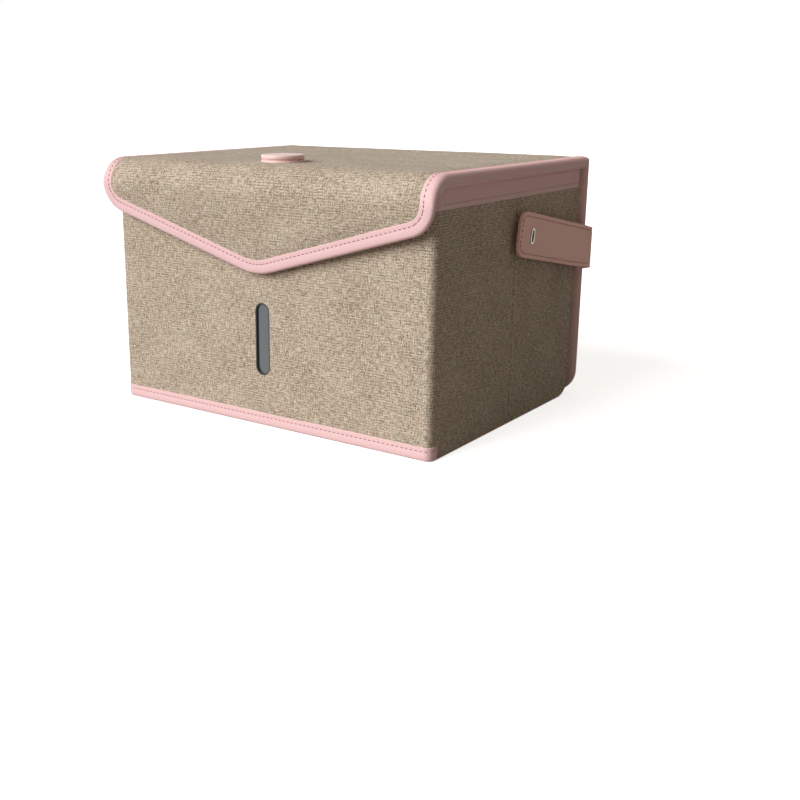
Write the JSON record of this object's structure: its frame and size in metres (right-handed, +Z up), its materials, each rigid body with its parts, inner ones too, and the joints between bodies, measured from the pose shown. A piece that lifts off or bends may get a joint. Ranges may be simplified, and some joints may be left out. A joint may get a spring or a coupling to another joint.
{
  "type": "uv sterilizer bag",
  "caption": "Folding linen-look box bag with a creased hinged lid, pointed magnetic flap, push button and ultraviolet lamps under the lid.",
  "frame": {"origin": "on the floor, at the middle of the overall footprint", "axes": "+Z up, -Y towards the flap and window, +X towards the side with the strap"},
  "size_m": [0.2709, 0.2166, 0.1781],
  "materials": {
    "linen": "woven linen look, matt",
    "tape": "ribbed pink tape",
    "foil_lining": "silver film with a dark dot mesh",
    "board": "plain stiffener",
    "foil_board": "stiffener faced with silver film",
    "button_pink": "satin",
    "boot_rubber": "soft silicone",
    "black_plastic": "matt",
    "window_plastic": "dark, polished",
    "magnet_steel": "plated",
    "circuit_green": "solder mask",
    "battery_wrap": "foil pouch",
    "lamp_white": "white solder mask",
    "lamp_chip": "clear resin",
    "lamp_window": "clear, polished",
    "socket_steel": "plated shell",
    "eyelet_metal": "plated"
  },
  "bodies": {
    "back": {"back_cloth": "linen", "back_board": "board", "back_lining": "foil_lining", "back_binding": "tape", "rear_seams": "linen", "strap_anchor": "tape"},
    "strap": {"strap": "tape", "strap_eyelet": "eyelet_metal"},
    "lid_strip": {"strip_cloth": "linen", "strip_board": "board", "strip_lining": "foil_lining", "strip_bindings": "tape"},
    "lid": {"lid_cloth": "linen", "lid_board": "board", "lid_lining": "foil_lining", "lid_bindings": "tape", "button_ring": "button_pink", "button_switch": "black_plastic", "button_boot": "boot_rubber", "circuit_board": "circuit_green", "battery": "battery_wrap", "lamp_board": "lamp_white", "lamp_chips": "lamp_chip", "lamp_cover": "lamp_window", "charging_socket": "socket_steel", "bend_cloth": "linen", "bend_bindings": "tape"},
    "button": {"button_cap": "button_pink"},
    "flap": {"flap_cloth": "linen", "flap_board": "board", "flap_lining": "foil_lining", "flap_binding": "tape", "flap_magnets": "magnet_steel"},
    "front_wall": {"front_cloth": "linen", "front_board": "board", "front_lining": "foil_lining", "front_bands": "tape", "window_frame": "black_plastic", "window_lens": "window_plastic", "front_magnets": "magnet_steel"},
    "side_right_rear": {"right_rear_cloth": "linen", "right_rear_board": "foil_board", "right_rear_bands": "tape"},
    "side_right_front": {"right_front_cloth": "linen", "right_front_board": "foil_board", "right_front_bands": "tape"},
    "side_left_rear": {"left_rear_cloth": "linen", "left_rear_board": "foil_board", "left_rear_bands": "tape"},
    "side_left_front": {"left_front_cloth": "linen", "left_front_board": "foil_board", "left_front_bands": "tape"},
    "base_rear": {"base_rear_cloth": "linen", "base_rear_board": "foil_board", "base_rear_corners": "linen"},
    "base_front": {"base_front_cloth": "linen", "base_front_board": "foil_board", "base_front_corners": "linen"}
  },
  "joints": [
    {"name": "lid_hinge", "type": "hinge", "parent": "back", "child": "lid_strip", "pos_m": [0, 0.1063, 0.1725], "axis": [-1, 0, 0], "range_deg": [0, 100]},
    {"name": "lid_crease", "type": "hinge", "parent": "lid_strip", "child": "lid", "pos_m": [0, 0.0563, 0.1725], "axis": [-1, 0, 0], "range_deg": [0, 80]},
    {"name": "flap_hinge", "type": "hinge", "parent": "lid", "child": "flap", "pos_m": [0, -0.10594, 0.17014], "axis": [-1, 0, 0], "range_deg": [0, 90], "deforming": ["bend_cloth", "bend_bindings"]},
    {"name": "button_press", "type": "slide", "parent": "lid", "child": "button", "axis": [0, 0, -1], "range_m": [0, 0.0007], "stiffness_N_per_m": 1500, "deforming": ["button_boot"]},
    {"name": "strap_swing", "type": "hinge", "parent": "back", "child": "strap", "pos_m": [0.1363, 0.1043, 0.115], "axis": [0, 0, 1], "range_deg": [0, 170]},
    {"name": "side_right_fold", "type": "hinge", "parent": "back", "child": "side_right_rear", "pos_m": [0.128, 0.0981, 0], "axis": [0, 0, -1], "range_deg": [0, 82]},
    {"name": "side_right_crease", "type": "hinge", "parent": "side_right_rear", "child": "side_right_front", "pos_m": [0.13, 0.004, 0], "axis": [0, 0, 1], "range_deg": [0, 164]},
    {"name": "front_wall_fold", "type": "hinge", "parent": "side_right_front", "child": "front_wall", "pos_m": [0.128, -0.0901, 0], "axis": [0, 0, -1], "range_deg": [0, 82]},
    {"name": "side_left_fold", "type": "hinge", "parent": "back", "child": "side_left_rear", "pos_m": [-0.128, 0.0981, 0], "axis": [0, 0, 1], "range_deg": [0, 82]},
    {"name": "side_left_crease", "type": "hinge", "parent": "side_left_rear", "child": "side_left_front", "pos_m": [-0.13, 0.004, 0], "axis": [0, 0, -1], "range_deg": [0, 164]},
    {"name": "base_fold", "type": "hinge", "parent": "back", "child": "base_rear", "pos_m": [0, 0.1013, 0.002], "axis": [-1, 0, 0], "range_deg": [0, 80.5], "deforming": ["base_rear_corners"]},
    {"name": "base_crease", "type": "hinge", "parent": "base_rear", "child": "base_front", "pos_m": [0, 0.004, 0], "axis": [1, 0, 0], "range_deg": [0, 161], "deforming": ["base_front_corners"]}
  ],
  "couplings": [
    {"joint": "side_right_crease", "follows": "side_right_fold", "ratio": 2},
    {"joint": "front_wall_fold", "follows": "side_right_fold", "ratio": 1},
    {"joint": "side_left_fold", "follows": "side_right_fold", "ratio": 1},
    {"joint": "side_left_crease", "follows": "side_right_fold", "ratio": 2},
    {"joint": "base_fold", "follows": "side_right_fold", "ratio": 0.981},
    {"joint": "base_crease", "follows": "side_right_fold", "ratio": 1.962}
  ]
}
